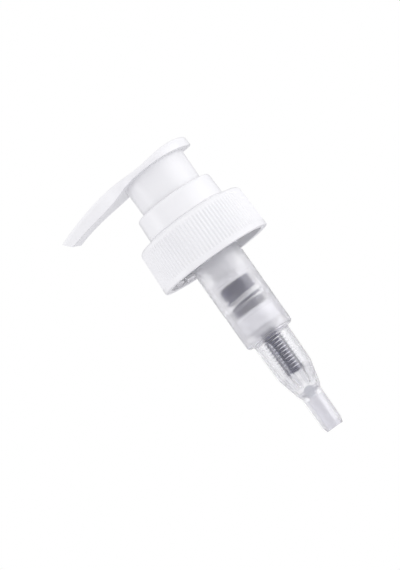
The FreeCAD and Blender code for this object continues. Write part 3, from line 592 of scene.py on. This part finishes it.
# ------------------------------------------------------------------ closure
# The screw cap is moulded in white polypropylene, with 96 rounded grip ribs over a plain band.
# Inside, a coarse thread of separate segments lets it be pulled off its mould and takes the bottle.
WHITE_DEEP = (0.86, 0.86, 0.875, 1)
WHITE_PALE = (0.90, 0.90, 0.91, 1)
RIBS = 96
RIB_SHAPE = (0.0, 0.06, 0.38, 0.82, 1.0, 0.82, 0.38, 0.06)    # depth round one rib, from crest to crest
RIB_DEPTH = 0.0003
THREAD_BORE_R = 0.0167
THREAD_CREST_R = 0.0156
THREAD_ROOT_HALF = 0.00105
THREAD_CREST_HALF = 0.0004
THREAD_CROWN = 0.0001
THREAD_SUNK = 0.0001              # into the closure's wall
THREAD_PITCH = 0.00423
THREAD_START_Z = -0.0101
THREAD_START = math.radians(112)
THREAD_SEGMENTS = 27
THREAD_SEGMENT = math.radians(14)
THREAD_GAP = math.radians(6)
SEGMENT_STEPS = 4
WELD = 1e-4
# Radius, height and share of the ribs' depth: under the rim, up the outside, over the top,
# down the hole, and out under the top plate to the bore.
CLOSURE_PROFILE = (
    (THREAD_BORE_R, -0.0112, 0), (0.0169, -0.0114, 0), (0.0188, -0.0114, 0), (0.01897, -0.01125, 0),
    (0.01898, -0.0098, 0), (0.01893, -0.00963, 0.15), (0.01892, -0.0095, 0.6), (0.01891, -0.0093, 1),
    (0.0187, -0.0038, 1), (0.01852, 0.0012, 1), (0.0185, 0.0017, 0.85), (0.01848, 0.0021, 0.5),
    (0.01832, 0.0026, 0.2), (0.0181, 0.00295, 0), (0.0177, 0.00328, 0), (0.0172, 0.00352, 0),
    (0.0166, 0.00366, 0), (0.0135, 0.00443, 0), (0.0124, 0.00443, 0), (0.0122, 0.00415, 0),
    (0.0122, 0.0026, 0), (0.0162, 0.0026, 0), (THREAD_BORE_R, 0.0021, 0),
)


def groove(vert):
    """How deep the groove between two ribs is at this vertex, from 0 on a crest to 1."""
    turn = math.atan2(vert.co.y, vert.co.x) / math.tau * RIBS * len(RIB_SHAPE)
    return RIB_SHAPE[round(turn) % len(RIB_SHAPE)]


def place_ring(ring, radius, z, depth):
    """Moves a ring of edges to its radius and height, with its grooves at that share of their depth."""
    for vert in {v for edge in ring for v in edge.verts}:
        reach = (radius - depth * RIB_DEPTH * groove(vert)) / math.hypot(vert.co.x, vert.co.y)
        vert.co = (vert.co.x * reach, vert.co.y * reach, z)


closure_plastic = moulded("closure_plastic", WHITE_DEEP, WHITE_PALE, roughness=0.34, spread=0.08,
                          cloud_scale=60)

shape = bmesh.new()
angles = [i * math.tau / RIBS / len(RIB_SHAPE) for i in range(len(RIB_SHAPE) + 1)]
tooth = [shape.verts.new((math.cos(angle), math.sin(angle), 0)) for angle in angles]
for a, b in zip(tooth, tooth[1:]):
    shape.edges.new((a, b))
bmesh.ops.spin(shape, geom=list(shape.edges) + list(shape.verts), cent=(0, 0, 0), axis=(0, 0, 1),
               angle=math.tau * (RIBS - 1) / RIBS, steps=RIBS - 1, use_duplicate=True)
bmesh.ops.remove_doubles(shape, verts=shape.verts, dist=WELD)
opening = list(shape.edges)
ring = opening
place_ring(ring, *CLOSURE_PROFILE[0])
for point in CLOSURE_PROFILE[1:]:
    pulled = bmesh.ops.extrude_edge_only(shape, edges=ring)["geom"]
    ring = [part for part in pulled if isinstance(part, bmesh.types.BMEdge)]
    place_ring(ring, *point)
bmesh.ops.bridge_loops(shape, edges=ring + opening)
closure = piece("closure_cap", shape, closure_plastic)
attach(closure, "closure")
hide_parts("closure")

thread_section = (
    (THREAD_BORE_R + THREAD_SUNK, -THREAD_ROOT_HALF), (THREAD_CREST_R + THREAD_CROWN, -THREAD_CREST_HALF),
    (THREAD_CREST_R, 0),
    (THREAD_CREST_R + THREAD_CROWN, THREAD_CREST_HALF), (THREAD_BORE_R + THREAD_SUNK, THREAD_ROOT_HALF),
)
shape = bmesh.new()
for i in range(THREAD_SEGMENTS):
    climbed = i * (THREAD_SEGMENT + THREAD_GAP)
    z = THREAD_START_Z + THREAD_PITCH * climbed / math.tau
    section = shape.faces.new([shape.verts.new((x, 0, z + dz)) for x, dz in thread_section])
    start = [section] + list(section.edges) + list(section.verts)
    bmesh.ops.rotate(shape, verts=section.verts, cent=(0, 0, 0),
                     matrix=Matrix.Rotation(THREAD_START + climbed, 3, "Z"))
    bmesh.ops.spin(shape, geom=start, cent=(0, 0, 0), axis=(0, 0, 1), angle=THREAD_SEGMENT,
                   steps=SEGMENT_STEPS,
                   dvec=(0, 0, THREAD_PITCH * THREAD_SEGMENT / math.tau / SEGMENT_STEPS))
thread = piece("closure_thread", shape, closure_plastic)
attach(thread, "closure")


# ------------------------------------------------------------------ locking collar
# The collar clips round the housing's neck, and the closure turns on its foot, under its ledge.
# It is the same white polypropylene as the closure, from a slightly more polished mould.
collar_plastic = moulded("collar_plastic", WHITE_DEEP, WHITE_PALE, roughness=0.32, spread=0.08,
                         cloud_scale=70)
wear("locking_collar", collar_plastic)


# ------------------------------------------------------------------ head
# The head's body carries the spout's underside and neck, and the cover snaps into it from above.
# Both are white polypropylene, and the cover comes from the more highly polished mould.
head_plastic = moulded("head_plastic", WHITE_DEEP, WHITE_PALE, roughness=0.33, spread=0.05,
                       cloud_scale=50)
wear("actuator_body", head_plastic)
cover_plastic = moulded("cover_plastic", WHITE_DEEP, WHITE_PALE, roughness=0.32, spread=0.04,
                        cloud_scale=50)
wear("actuator_cover", cover_plastic)
